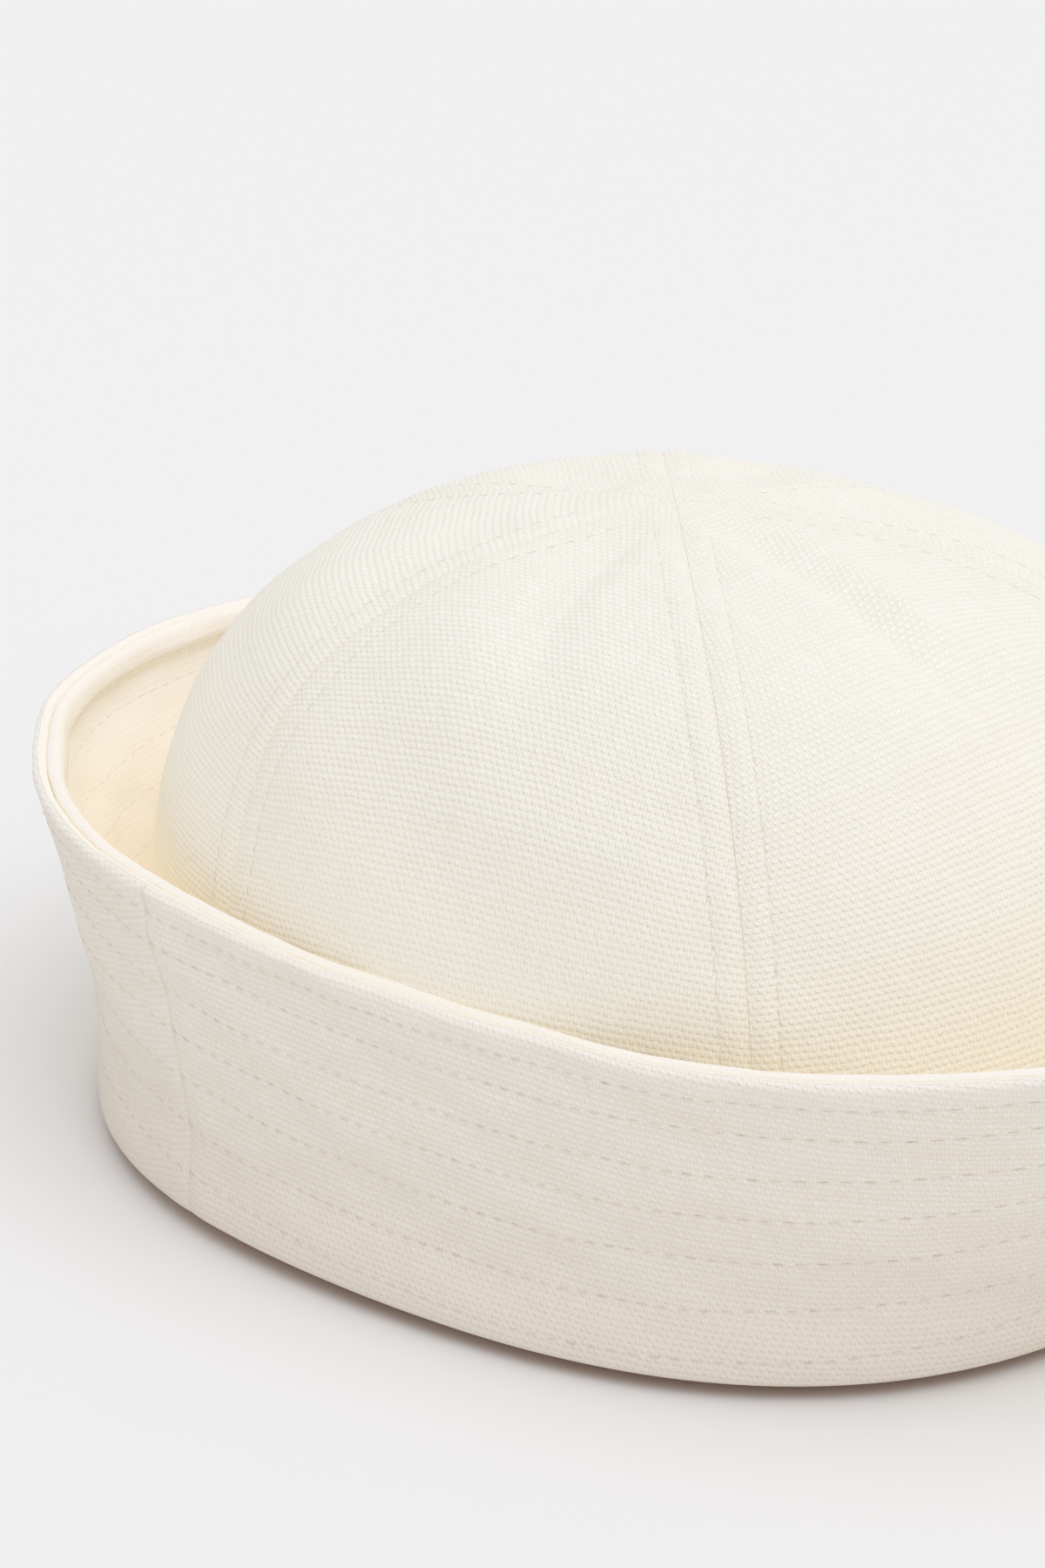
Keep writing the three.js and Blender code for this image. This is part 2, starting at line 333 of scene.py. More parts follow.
RIM_WAVES = [(0.2, 11, 0, 0.3), (0.12, 19, 0, 1.9), (0.07, 37, 0, 4.0), (0.05, 71, 0, 2.2)]
WALL_WAVES = [(0.2, 9, 5, 0.8), (0.16, 14, -7, 3.0), (0.12, 23, 9, 5.1), (0.07, 37, -15, 1.1)]


def rim_height(azimuth):
    """Height of the rim over the foot's azimuth: a mean height, a tilt and a saddle."""
    turned = azimuth + np.radians(JOIN_SLANT)
    tilt = RIM_TILT * np.cos(turned - np.radians(RIM_TILT_AZIMUTH))
    saddle = RIM_SADDLE * np.cos(2 * (turned - np.radians(RIM_SADDLE_AZIMUTH)))
    return RIM_HEIGHT + tilt + saddle


def brim(azimuth, share, depth):
    """A place in the brim's wall: its plan grows from the foot's to the rim's with share^flare, and turns
    by the slant of the joins on the way up."""
    turned = azimuth + np.radians(JOIN_SLANT) * share
    foot = plan_radius(turned, CROWN_HALF_LENGTH + STAND_OFF, CROWN_HALF_WIDTH + STAND_OFF)
    rim = plan_radius(turned, RIM_HALF_LENGTH, RIM_HALF_WIDTH)
    lean = np.maximum(share, 0) ** FLARE
    radius = foot + (rim - foot) * lean - depth
    x = CENTRE_X * (1 - lean) + radius * np.cos(turned)
    return np.stack([x, radius * np.sin(turned), rim_height(azimuth) * share], -1)


def ply_thickness(below):
    """Thickness of a ply at a distance below the rim, which grows over the turned-in edge."""
    return RIM_PLY + (PLY - RIM_PLY) * smoothstep(below, RIM_BAND / 2, RIM_BAND)


def join_distance(azimuth):
    """Distance round the brim to the nearest join."""
    turns = np.abs(turn_between(azimuth[..., None], JOINS))
    return MEAN_RADIUS * turns.min(-1)


def brim_waves(azimuth, share):
    """The wall's own unevenness: slow waves all over and quicker ones towards the rim."""
    slow = ripple(azimuth, share * 3, WALL_WAVES) * smoothstep(share, 0.02, 0.25)
    return slow + ripple(azimuth, 0, RIM_WAVES) * smoothstep(share, 0.75, 1)


def quilt(azimuth, below):
    """How far the sewing pulls a face in: a groove at each row of quilting, deeper at its holes, and one
    at each join, with a soft swell beside it."""
    hole = 0.5 + 0.5 * np.cos(TURN * azimuth * MEAN_RADIUS / BRIM_PITCH)
    pull = 0
    for row in QUILTING:
        pull = pull + (0.05 + 0.05 * hole) * bell(below - row, 0.8)
    join = join_distance(azimuth)
    edge = 0.2 * bell(join, 0.7) - 0.2 * bell(join - 4, 3)
    return pull + edge


WALL_ROWS = 54
RIM_GROOVE = 0.6  # depth of the groove between the plies along the rim, against a full round
FOOT_LIFT = 2.3  # the outer fold of the foot stands this far off the surface, tipped up by the tuck
FOOT_ROLL = 1.1  # radius of that fold
TIPPED_LIFT = 0.7  # it stands this much further off at the side where the brim is tipped up
TIPPED_SIDE = (-115, 28)  # direction and spread of that side
FOOT_SWELL = 3.1  # how far the wall bellies out just above the foot
FRONT_SWELL = 0.4  # share by which it bellies out more at the front
FRONT_SIDE = (-65, 35)
TUCK = 1.3  # thickness of the cloth turned under at the foot
TUCK_STEPS = np.array([8.2, 7.4, 6.4, 5.2, 4.0, 2.8])[:, None]  # depths of the rows under the tuck
SHELF_STEPS = np.array([8.2, 7.4, 6.0, 4.6, 3.2, 2.2])[:, None]  # and of those on top of it
WALL_FOOT = 4.6  # the inner ply stands on the tuck at this height
BAND_STEPS = 290
BAND_INSET = 0.005  # half of the slit between two bands


def foot_lift(azimuth):
    """How far the outer fold of the foot stands off the surface: more where the brim is tipped up."""
    return FOOT_LIFT + TIPPED_LIFT * towards(azimuth, *TIPPED_SIDE)


def tuck_height(azimuth, depth):
    """Height of the foot's underside: flat on the surface far in, lifted under the outer fold."""
    return foot_lift(azimuth) * smoothstep(-depth, -7.4, -FOOT_ROLL)


def band_azimuths(start, end):
    """Steps along a band: an even share less a small sine of it, so they are closer towards the joins."""
    t = np.linspace(0, 1, BAND_STEPS + 1)
    eased = t - 0.012 * np.sin(TURN * t)
    gap = BAND_INSET / MEAN_RADIUS
    return start + gap + (end - start - 2 * gap) * eased


def rim_curve(azimuth, depth, first, last, count, groove):
    """Part of the rim's rounded edge, from one turn to another of a half circle over the ply. groove is
    the side, 0 or 180 degrees, on which the two plies lie together: the edge is flatter there."""
    half = RIM_PLY / 2
    turn = np.radians(np.linspace(first, last, count))[:, None]
    height = rim_height(azimuth)[None, :]
    flat = np.cos(turn - np.radians(groove)) > 0
    drop = half * (1 - np.sin(turn)) * np.where(flat, RIM_GROOVE, 1)
    share = (height - drop) / height
    return share, depth + half + half * np.cos(turn) + 0 * share


def stack(azimuth, parts):
    """Joins pieces of a section, each as (share, depth), into full grids of azimuth, share and depth."""
    share = np.concatenate([np.broadcast_to(s, (len(s), len(azimuth))) for s, d in parts])
    depth = np.concatenate([np.broadcast_to(d, (len(d), len(azimuth))) for s, d in parts])
    return np.repeat(azimuth[None, :], len(share), 0), share, depth


def wall_rows(azimuth, low, high, count):
    """Rows up the wall from one height to a distance below the rim, evenly spread."""
    height = rim_height(azimuth)[None, :]
    part = np.linspace(0, 1, count)[:, None]
    return (low + (height - high - low) * part) / height


def pattern(azimuth, points, upright):
    """Flat pattern of a band with the narrow side's share: along is the length round the foot, up is the
    length up the wall, and the grain turns against the wall by the integral of its flare from the band's
    middle, where it leans by upright."""
    foot = plan_radius(azimuth, CROWN_HALF_LENGTH + STAND_OFF, CROWN_HALF_WIDTH + STAND_OFF)
    turned = azimuth + np.radians(JOIN_SLANT)
    rim = plan_radius(turned, RIM_HALF_LENGTH, RIM_HALF_WIDTH)
    flare = (rim - foot) / rim_height(azimuth)
    step = np.gradient(azimuth)
    grain = np.cumsum(flare * step)
    grain -= grain[len(grain) // 2] - upright
    along = np.cumsum(foot * step * np.cos(grain))
    lift = -np.cumsum(foot * step * np.sin(grain))
    up = np.cumsum(np.linalg.norm(np.diff(points, axis=0, prepend=points[:1]), axis=-1), 0)
    glow = narrow(azimuth) + 0 * up
    return np.stack([along + up * np.sin(grain), lift + up * np.cos(grain), glow], -1)


def below_rim(azimuth, share):
    """Distance down the wall from the rim: the rim's height times one less the share."""
    return rim_height(azimuth) * (1 - share)


def outer_ply(start, end):
    """The wall's outer ply, which turns under at the foot as a tuck and over at the rim as a fold."""
    azimuth = band_azimuths(start, end)
    height = rim_height(azimuth)[None, :]
    half = RIM_PLY / 2
    turn = np.radians(np.linspace(0, 90, 7))[:-1, None]
    lift = foot_lift(azimuth)[None, :]
    tuck = (tuck_height(azimuth, TUCK_STEPS) / height, TUCK_STEPS)
    bend = (lift + FOOT_ROLL * (1 - np.cos(turn)), FOOT_ROLL * (1 - np.sin(turn)))
    outside = wall_rows(azimuth, lift + FOOT_ROLL, half, WALL_ROWS)
    over = rim_curve(azimuth, 0, 165, 90, 6, 0)
    front = stack(azimuth, [tuck, (bend[0] / height, bend[1]), (outside, 0 * outside), over])
    inside = wall_rows(azimuth, WALL_FOOT, half, WALL_ROWS)
    below = below_rim(azimuth, inside)
    top = np.maximum(CROWN_FOOT - 0.3, tuck_height(azimuth, SHELF_STEPS) + TUCK)
    shelf = (top / height, SHELF_STEPS)
    corner = (np.linspace(top[-1], WALL_FOOT, 7)[1:] / height, PLY + 0 * turn)
    over = rim_curve(azimuth, 0, 0, 85, 6, 0)
    back = stack(azimuth, [shelf, corner, (inside, ply_thickness(below)), over])
    return azimuth, front, back


def inner_ply(start, end):
    """The wall's inner ply, a plain wall that stands on the tuck behind the outer ply."""
    azimuth = band_azimuths(start, end)
    half = RIM_PLY / 2
    behind = RIM_PLY + PLY_GAP
    wall = wall_rows(azimuth, WALL_FOOT, half, WALL_ROWS)
    below = below_rim(azimuth, wall)
    near = ply_thickness(below) + PLY_GAP
    far = near + ply_thickness(below)
    front = stack(azimuth, [(wall, near), rim_curve(azimuth, behind, 180, 95, 6, 180)])
    back = stack(azimuth, [(wall, far), rim_curve(azimuth, behind, 15, 90, 6, 180)])
    return azimuth, front, back


def brim_face(place, facing):
    """Points of one face of a ply: the wall, pulled into the cloth by the sewing, and pushed outwards by
    the waves and by a bell-shaped swell above the foot. facing is 1 where the face looks outwards and -1
    where it looks in."""
    azimuth, share, depth = place
    below = below_rim(azimuth, share)
    pull = quilt(azimuth, below) * smoothstep(share, 0.04, 0.08) * smoothstep(below, 0.4, 2.0)
    swell = FOOT_SWELL * (1 + FRONT_SWELL * towards(azimuth, *FRONT_SIDE))
    swell = swell * bell(share - 0.06, 0.17) * (1 - smoothstep(depth, 1.5, 7))
    return brim(azimuth, share, depth + facing * pull - brim_waves(azimuth, share) - swell)


# Which way a face of the brim is turned, as its finish reads it: to the outside, to the hollow, or to
# the other ply. The underside of the tuck is UNDERSIDE.
OUTSIDE, HOLLOW, BETWEEN = 0.0, 1.0, 2.0
UNDERSIDE = -1.0


def brim_sides(place, side):
    """What the brim's finish needs at each point of a face: its distances from the join and below the
    rim, and its side, which turns into UNDERSIDE round the fold at the foot of an OUTSIDE face."""
    azimuth, share, depth = place
    under = smoothstep(depth, 0.15, 0.9) * (side == OUTSIDE)
    sides = side + UNDERSIDE * under * smoothstep(-share, -0.3, -0.2)
    return np.stack([join_distance(azimuth), below_rim(azimuth, share), sides], -1)[::-1]


# ---------------------------------------------------------------------------------------------------
# Meshes
# ---------------------------------------------------------------------------------------------------


def grid_faces(rows, columns, first=0):
    """Four-sided faces between the points of a grid, which are numbered row by row from first."""
    i, j = np.mgrid[0 : rows - 1, 0 : columns - 1]
    a = (first + i * columns + j).ravel()
    return np.stack([a, a + columns, a + columns + 1, a + 1], -1)


def grid_border(rows, columns):
    """Numbers of a grid's border points, once round from its first corner down its first column."""
    number = np.arange(rows * columns).reshape(rows, columns)
    return np.concatenate([number[:-1, 0], number[-1, :-1], number[:0:-1, -1], number[0, :0:-1]])


def make_piece(name, points, faces, attributes, material, sharp=50):
    """A mesh in metres that carries numbers at its points and rides on the cap. It is shaded smooth but
    for edges that turn more than sharp, in degrees."""
    mesh = bpy.data.meshes.new(name)
    mesh.from_pydata((points * MM).tolist(), [], faces)
    for label, values in attributes.items():
        layer = mesh.attributes.new(label, "FLOAT_VECTOR", "POINT")
        layer.data.foreach_set("vector", np.ascontiguousarray(values, np.float32).ravel())
    mesh.shade_smooth()
    mesh.set_sharp_from_angle(angle=np.radians(sharp))
    mesh.materials.append(material)
    piece = bpy.data.objects.new(name, mesh)
    bpy.context.scene.collection.objects.link(piece)
    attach(piece, "root")
    return piece


def shell(name, outer, inner, attributes, material):
    """A closed piece of cloth: two grids of points of the same size, joined along their borders. Seen
    from outside the outer grid, its rows run down and its columns run to the right."""
    rows, columns = outer.shape[:2]
    behind = rows * columns
    border = grid_border(rows, columns)
    ahead = np.roll(border, -1)
    faces = np.concatenate(
        [
            grid_faces(rows, columns),
            grid_faces(rows, columns, behind)[:, ::-1],
            np.stack([ahead, border, border + behind, ahead + behind], -1),
        ]
    )
    points = np.concatenate([outer.reshape(-1, 3), inner.reshape(-1, 3)])
    layers = {}
    for label, (front, back) in attributes.items():
        layers[label] = np.concatenate([front.reshape(-1, 3), back.reshape(-1, 3)])
    return make_piece(name, points, faces.tolist(), layers, material)


STITCH_RINGS = 5
STITCH_SIDES = 6


def thread(path, out, radius, lift, sink):
    """Short arched lengths of thread. path and out are points and normals along each stitch, and t runs
    from -1 to 1 along it: the thread stands proud by lift times 1 - t^2, less sink times t^4, and its
    radius thins with the root of 1 - 3/4 t^2."""
    t = np.linspace(-1, 1, STITCH_RINGS)
    forward = unit(np.gradient(path, axis=1))
    side = np.cross(out, forward)
    spin = TURN * np.arange(STITCH_SIDES) / STITCH_SIDES
    centre = path + out * (lift * (1 - t**2) - sink * t**4)[:, None]
    girth = (radius * np.sqrt(1 - 0.75 * t**2))[:, None, None]
    ring = np.cos(spin)[:, None] * side[:, :, None] + np.sin(spin)[:, None] * out[:, :, None]
    points = centre[:, :, None] + girth * ring
    ends = centre[:, [0, -1]] + forward[:, [0, -1]] * np.array([-0.3, 0.3])[:, None] * radius
    return points, ends


def thread_mesh(name, bundles, material):
    """One piece from all the stitches of several rows, each closed by a fan at both ends."""
    points = np.concatenate([p for p, e in bundles])
    ends = np.concatenate([e for p, e in bundles])
    count = len(points)
    each = STITCH_RINGS * STITCH_SIDES
    i, j = np.mgrid[0 : STITCH_RINGS - 1, 0:STITCH_SIDES]
    following = (j + 1) % STITCH_SIDES
    quads = np.stack(
        [
            i * STITCH_SIDES + j,
            i * STITCH_SIDES + following,
            (i + 1) * STITCH_SIDES + following,
            (i + 1) * STITCH_SIDES + j,
        ],
        -1,
    ).reshape(-1, 4)
    start = np.arange(count)[:, None, None] * each
    quads = (quads[None] + start).reshape(-1, 4)
    ring = np.arange(STITCH_SIDES)
    onward = (ring + 1) % STITCH_SIDES
    tips = count * each + np.arange(count)[:, None] * 2 + 0 * ring
    base = np.arange(count)[:, None] * each
    last = each - STITCH_SIDES
    near = np.stack([tips, base + onward, base + ring], -1)
    far = np.stack([tips + 1, base + last + ring, base + last + onward], -1)
    fans = np.concatenate([near.reshape(-1, 3), far.reshape(-1, 3)])
    cloud = np.concatenate([points.reshape(-1, 3), ends.reshape(-1, 3)])
    number = np.repeat(np.arange(count), each)
    along = np.tile(np.repeat(np.linspace(-1, 1, STITCH_RINGS), STITCH_SIDES), count)
    around = np.tile(np.arange(STITCH_SIDES) / STITCH_SIDES, count * STITCH_RINGS)
    lay = np.stack([along, around, number], -1)
    tip_number = np.repeat(np.arange(count), 2)
    tip_lay = np.stack([np.tile([-1.0, 1.0], count), np.zeros(2 * count), tip_number], -1)
    layers = {"thread": np.concatenate([lay, tip_lay])}
    return make_piece(name, cloud, quads.tolist() + fans.tolist(), layers, material, sharp=180)


STITCH_REACH = 0.84  # share of the way from hole to hole that a stitch shows


def stitch_places(pitch, start, end):
    """Places along a row for each stitch: from hole to hole, less a little at both ends."""
    first = np.arange(start, end - pitch, pitch)
    t = np.linspace(-1, 1, STITCH_RINGS)
    return first[:, None] + pitch * (0.5 + 0.5 * STITCH_REACH * t)


def crown_stitches(inside):
    """Rows of topstitching along both sides of every crown seam."""
    bundles = []
    share = np.linspace(0.06, 0.995, 900)
    down = share * CROWN_LENGTH
    places = stitch_places(CROWN_PITCH, CROWN_PITCH * 4, down[-1] - 4)
    at_share = np.interp(places, down, share)
    for seam in SEAMS:
        radius = crown_radius(np.full_like(share, seam), share)
        for side in (-1, 1):
            at_azimuth = np.interp(places, down, seam + side * TOPSTITCH / radius)
            out = normals(smooth_crown, at_azimuth, at_share)
            if inside:
                path = crown(at_azimuth, at_share, CROWN_CLOTH + ALLOWANCE_CLOTH)
                bundles.append(thread(path, -out, radius=0.2, lift=0.12, sink=0.3))
            else:
                path = crown(at_azimuth, at_share)
                bundles.append(thread(path, out, radius=0.12, lift=0.03, sink=0.25))
    return bundles


def brim_stitches(inside):
    """Rows of quilting round the brim, on its outer or its inner face."""
    bundles = []
    facing = -1 if inside else 1
    at = stitch_places(BRIM_PITCH, 0, TURN * MEAN_RADIUS) / MEAN_RADIUS
    for row in QUILTING:
        share = 1 - row / rim_height(at)
        thickness = ply_thickness(row + 0 * at)
        depth = 2 * thickness + PLY_GAP if inside else 0 * at
        face = brim_face((at, share, depth), facing)
        forward = unit(np.gradient(face, axis=1))
        up = unit(brim(at, share + 0.01, depth) - brim(at, share - 0.01, depth))
        out = unit(np.cross(forward, up)) * facing
        bundles.append(thread(face, out, radius=0.08, lift=0.05, sink=0.12))
    return bundles


# ---------------------------------------------------------------------------------------------------
# Finishes
# ---------------------------------------------------------------------------------------------------


class Value:
    """A number that runs through the shader: expressions on it add their own Math nodes."""

    def __init__(self, tree, socket):
        self.tree = tree
        self.socket = socket

    def math(self, operation, *others):
        return self.tree.math(operation, self, *others)

    def __add__(self, other):
        return self.math("ADD", other)

    __radd__ = __add__

    def __sub__(self, other):
        return self.math("SUBTRACT", other)

    def __rsub__(self, other):
        return self.tree.math("SUBTRACT", other, self)

    def __mul__(self, other):
        return self.math("MULTIPLY", other)

    __rmul__ = __mul__

    def __truediv__(self, other):
        return self.math("DIVIDE", other)

    def __rtruediv__(self, other):
        return self.tree.math("DIVIDE", other, self)

    def __pow__(self, other):
        return self.math("POWER", other)

    def __rpow__(self, other):
        return self.tree.math("POWER", other, self)


class NodeTree:
    """A node tree under construction, with the ways to add nodes to it."""

    def __init__(self, tree):
        self.nodes = tree.nodes
        self.links = tree.links

    def node(self, kind, settings=None, output=0, **inputs):
        """Adds a node: its settings first, then a value or a link for each named or numbered socket."""
        made = self.nodes.new(kind)
        for key, value in (settings or {}).items():
            setattr(made, key, value)
        for key, value in inputs.items():
            socket = made.inputs[int(key[1:])] if key[0] == "_" else made.inputs[key.replace("_", " ")]
            self.feed(value, socket)
        return Value(self, made.outputs[output])

    def feed(self, value, socket):
        """Links a Value to a socket, or sets the socket to a plain value."""
        if isinstance(value, Value):
            self.links.new(value.socket, socket)
        else:
            socket.default_value = value

    def math(self, operation, *values):
        """A Math node on Values and plain numbers."""
        inputs = {f"_{i}": value for i, value in enumerate(values)}
        return self.node("ShaderNodeMath", {"operation": operation}, **inputs)


class Finish(NodeTree):
    """A material under construction: its node tree, its shader, and what its patterns are made of."""

    def __init__(self, name, roughness):
        self.material = bpy.data.materials.new(name)
        self.material.use_nodes = True
        super().__init__(self.material.node_tree)
        self.shader = self.nodes["Principled BSDF"]
        self.shader.inputs["Roughness"].default_value = roughness

    def mix(self, share, first, second):
        """A colour between two colours."""
        return self.node("ShaderNodeMix", {"data_type": "RGBA"}, output=2, _0=share, _6=first, _7=second)

    def ramp(self, value, low, high, first, last, soft=False):
        """first where the value is below low, last above high, and a straight or soft slope between."""
        kind = {"interpolation_type": "SMOOTHSTEP" if soft else "LINEAR"}
        return self.node("ShaderNodeMapRange", kind, _0=value, _1=low, _2=high, _3=first, _4=last)

    def lay(self, label):
        """The three numbers that a piece carries at its points under a label."""
        carried = self.node("ShaderNodeAttribute", {"attribute_name": label}, output=1)
        split = self.nodes.new("ShaderNodeSeparateXYZ")
        self.links.new(carried.socket, split.inputs[0])
        return [Value(self, split.outputs[i]) for i in range(3)]

    def vector(self, x=0.0, y=0.0, z=0.0):
        """Three numbers as one place."""
        return self.node("ShaderNodeCombineXYZ", _0=x, _1=y, _2=z)

    def noise(self, place, scale, detail=2.0):
        """Soft noise between 0 and 1."""
        return self.node("ShaderNodeTexNoise", None, 0, Vector=place, Scale=scale, Detail=detail)

    def speckle(self, place):
        """A different number between 0 and 1 for each whole place."""
        return self.node("ShaderNodeTexWhiteNoise", {"noise_dimensions": "3D"}, 0, Vector=place)

    def relief(self, height, distance):
        """Bumps the surface by a height, with 1 standing for a distance in metres."""
        bump = self.node("ShaderNodeBump", None, 0, Height=height, Distance=distance, Strength=1.0)
        self.links.new(bump.socket, self.shader.inputs["Normal"])

    def colour(self, value):
        """Gives the shader its base colour."""
        self.feed(value, self.shader.inputs["Base Color"])


NEEDLE_MARK = (0.86, 0.70, 0.52, 1)  # the cloth at needle holes and in the slit of a crown seam
GULLY_PAINTED_BOUNCE = (0.965, 0.905, 0.765, 1)  # painted warm bounce light on the crown near its foot, in the hollow
RIM_PAINTED_HIGHLIGHT = (0.985, 0.960, 0.900, 1)  # painted highlight along the rim's edge, which faces up to the light
LOWER_BRIM_PAINTED_SHADE = (0.845, 0.765, 0.655, 1)  # painted shade on the lower brim
GROOVE_PAINTED_BOUNCE = (0.96, 0.87, 0.70, 1)  # painted warm bounce light between the plies
SLIT = (0.80, 0.68, 0.54, 1)  # at a join of the brim
UNDERSIDE_PAINTED_SHADOW = (0.42, 0.20, 0.04, 1)  # painted shadow on the underside of the fold at the foot
HOLLOW_SIDE_PAINTED_BOUNCE = (0.958, 0.908, 0.822, 1)  # painted warm bounce light on the brim's faces towards the hollow
PAINTED_GLOW = (1.0, 0.97, 0.86, 1)  # painted light: an emission that stands in for bounce light in the hollow
PAINTED_GLOW_STRENGTH = 0.13


def weave(cloth, across, up, spacing):
    """Height of the weave, the fibres on it, and how lit it is. The thick threads are rows of half rounds,
    |sin|, that swell and sink along their length by the product of the two sines, so their knuckles stand
    like bricks. The thin threads show faintly between. The threads wander and swell with noise."""
    place = cloth.vector(across, up)
    wander = cloth.noise(place, 0.10, 1.0) - 0.5
    sway = cloth.noise(cloth.vector(up, across, 7.3), 0.12, 1.0) - 0.5
    jitter = cloth.noise(cloth.vector(across, up, 5.0), 0.7, 1.0) - 0.5
    warp = across / (spacing[0] / 2) + wander * 1.2 + jitter * 0.7
    weft = up / spacing[1] + sway * 0.7 + jitter * 0.25
    warp_wave = cloth.math("SINE", warp * np.pi)
    weft_wave = cloth.math("SINE", weft * np.pi)
    crossing = warp_wave * weft_wave
    slub = cloth.noise(cloth.vector(across * 0.5, up * 2.0, 3.1), 0.8, 2.0) - 0.5
    warp_top = cloth.math("ABSOLUTE", warp_wave) * 0.26 + crossing * 0.16
    weft_top = cloth.math("ABSOLUTE", weft_wave) ** 0.8 * 0.56 - crossing * 0.44 + slub * 0.3
    height = cloth.math("SMOOTH_MAX", warp_top, weft_top, 0.2)

    warp_number = cloth.math("FLOOR", warp)
    weft_number = cloth.math("FLOOR", weft)
    shade = cloth.speckle(cloth.vector(0.0, weft_number, 1.0)) * 0.5
    shade = shade + cloth.speckle(cloth.vector(warp_number, 0.0, 2.0)) * 0.3
    shade = shade + cloth.speckle(cloth.vector(warp_number, weft_number, 3.0)) * 0.4
    fibres = cloth.noise(cloth.vector(across, up, 11.0), 3.4, 3.0)
    level = height + (fibres - 0.5) * 0.4 + (shade - 0.6) * 0.3
    return height, fibres, cloth.ramp(level, 0.1, 0.85, 0.0, 1.0, soft=True)


def crown_marks_and_painted_bounce(cloth, colour, height, broken, glow):
    """Needle marks beside the crown's seams, broken by noise and fading towards the apex, and painted warm
    bounce light and a painted glow near its foot. Returns the colour, the height and how much painted glow
    the cloth gives off."""
    apart, down, _ = cloth.lay("sewn")
    beside = cloth.math("ABSOLUTE", apart - TOPSTITCH)
    hole_wave = cloth.math("COSINE", down * (TURN / CROWN_PITCH))
    lower = cloth.ramp(down, 35.0, 100.0, 0.1, 1.0)
    notch = cloth.ramp(hole_wave, 0.45, 0.9, 0.0, 1.0) * cloth.ramp(beside, 0.08, 0.34, 1.0, 0.0)
    notch = notch * lower * broken * 1.4
    slit = cloth.ramp(apart, 0.05, 0.4, 0.5, 0.0) * broken * (lower * 0.75 + 0.2)
    colour = cloth.mix(cloth.math("MAXIMUM", notch, slit), colour, NEEDLE_MARK)
    # Painted warm bounce light on the crown near its foot, stronger on the narrow side of the hollow.
    gully_bounce = cloth.ramp(down, 50.0, 112.0, 0.0, 0.6) * (glow * 0.6 + 1)
    colour = cloth.mix(gully_bounce, colour, GULLY_PAINTED_BOUNCE)
    # The last value is the share of painted glow, which rises towards the foot.
    return colour, height - notch * 0.5, cloth.ramp(down, 72.0, 116.0, 0.0, 0.95)


def brim_joins_and_painted_light(cloth, colour, height, broken):
    """The brim's painted highlight along the rim's edge, painted shade on its lower part, painted warm
    bounce light in the groove, dark joins, painted shadow on the underside of the tuck, and a softer weave
    with painted warm bounce light on the faces towards the hollow. Returns the colour, the height and how
    much painted glow the cloth gives off."""
    apart, below, side = cloth.lay("sewn")
    # Painted highlight along the rim's edge.
    colour = cloth.mix(cloth.ramp(below, 1.0, 4.5, 0.3, 0.0), colour, RIM_PAINTED_HIGHLIGHT)
    # Painted shade, darker towards the foot of the brim.
    colour = cloth.mix(cloth.ramp(below, 22.0, 56.0, 0.0, 1.0), colour, LOWER_BRIM_PAINTED_SHADE)
    # Painted warm bounce light in the groove between the plies, which also gets painted glow.
    groove = cloth.ramp(side, HOLLOW, BETWEEN, 0.0, 0.6) * cloth.ramp(below, 0.1, 0.9, 0.0, 1.0)
    colour = cloth.mix(groove, colour, GROOVE_PAINTED_BOUNCE)
    colour = cloth.mix(cloth.ramp(apart, 0.05, 0.5, 0.7, 0.0) * broken, colour, SLIT)
    # Painted shadow on the underside of the tuck, under the fold at the foot.
    colour = cloth.mix(cloth.ramp(side, UNDERSIDE, OUTSIDE, 1.0, 0.0), colour, UNDERSIDE_PAINTED_SHADOW)
    # Faces towards the hollow: painted warm bounce light in the colour, and a softer weave.
    toward_hollow = cloth.ramp(side, OUTSIDE, HOLLOW, 0.0, 1.0)
    colour = cloth.mix(toward_hollow * 0.6, colour, HOLLOW_SIDE_PAINTED_BOUNCE)
    # Painted glow on the faces towards the hollow, stronger below the rim.
    painted_glow_share = toward_hollow * cloth.ramp(below, 2.0, 12.0, 0.1, 1.0)
    return colour, height * (1 - toward_hollow * 0.75), cloth.math("MAXIMUM", painted_glow_share, groove)


def canvas(name, shades, spacing, depth, of_crown):
    """Canvas: its weave in three shades, the crown's needle marks and painted warm bounce light or the
    brim's dark joins, painted highlight, painted shade and painted warm bounce light, and a faint painted
    glow.
    """
    top, valley, tint = shades
    cloth = Finish(name, 0.92)
    across, up, glow = cloth.lay("cloth")
    height, fibres, lit = weave(cloth, across, up, spacing)
    patches = cloth.noise(cloth.vector(across, up, 23.0), 0.06, 2.0)
    broken = cloth.noise(cloth.vector(across * 0.5, up, 31.0), 0.35, 1.0)
    # The valley shade is darker as painted shade in the weave's hollows.
    colour = cloth.mix(lit, valley, top)
    colour = cloth.mix(patches * 0.35, colour, tint)
    if of_crown:
        colour, height, painted_glow_share = crown_marks_and_painted_bounce(cloth, colour, height, broken, glow)
    else:
        colour, height, painted_glow_share = brim_joins_and_painted_light(cloth, colour, height, broken)
    cloth.colour(colour)
    # Painted glow: an emission from the cloth that stands in for bounce light in the hollow.
    glowing = cloth.mix(painted_glow_share * (glow * 0.24 + 0.32), (0, 0, 0, 1), PAINTED_GLOW)
    cloth.feed(glowing, cloth.shader.inputs["Emission Color"])
    cloth.shader.inputs["Emission Strength"].default_value = PAINTED_GLOW_STRENGTH
    cloth.relief(height + fibres * 0.14, depth)
    return cloth.material


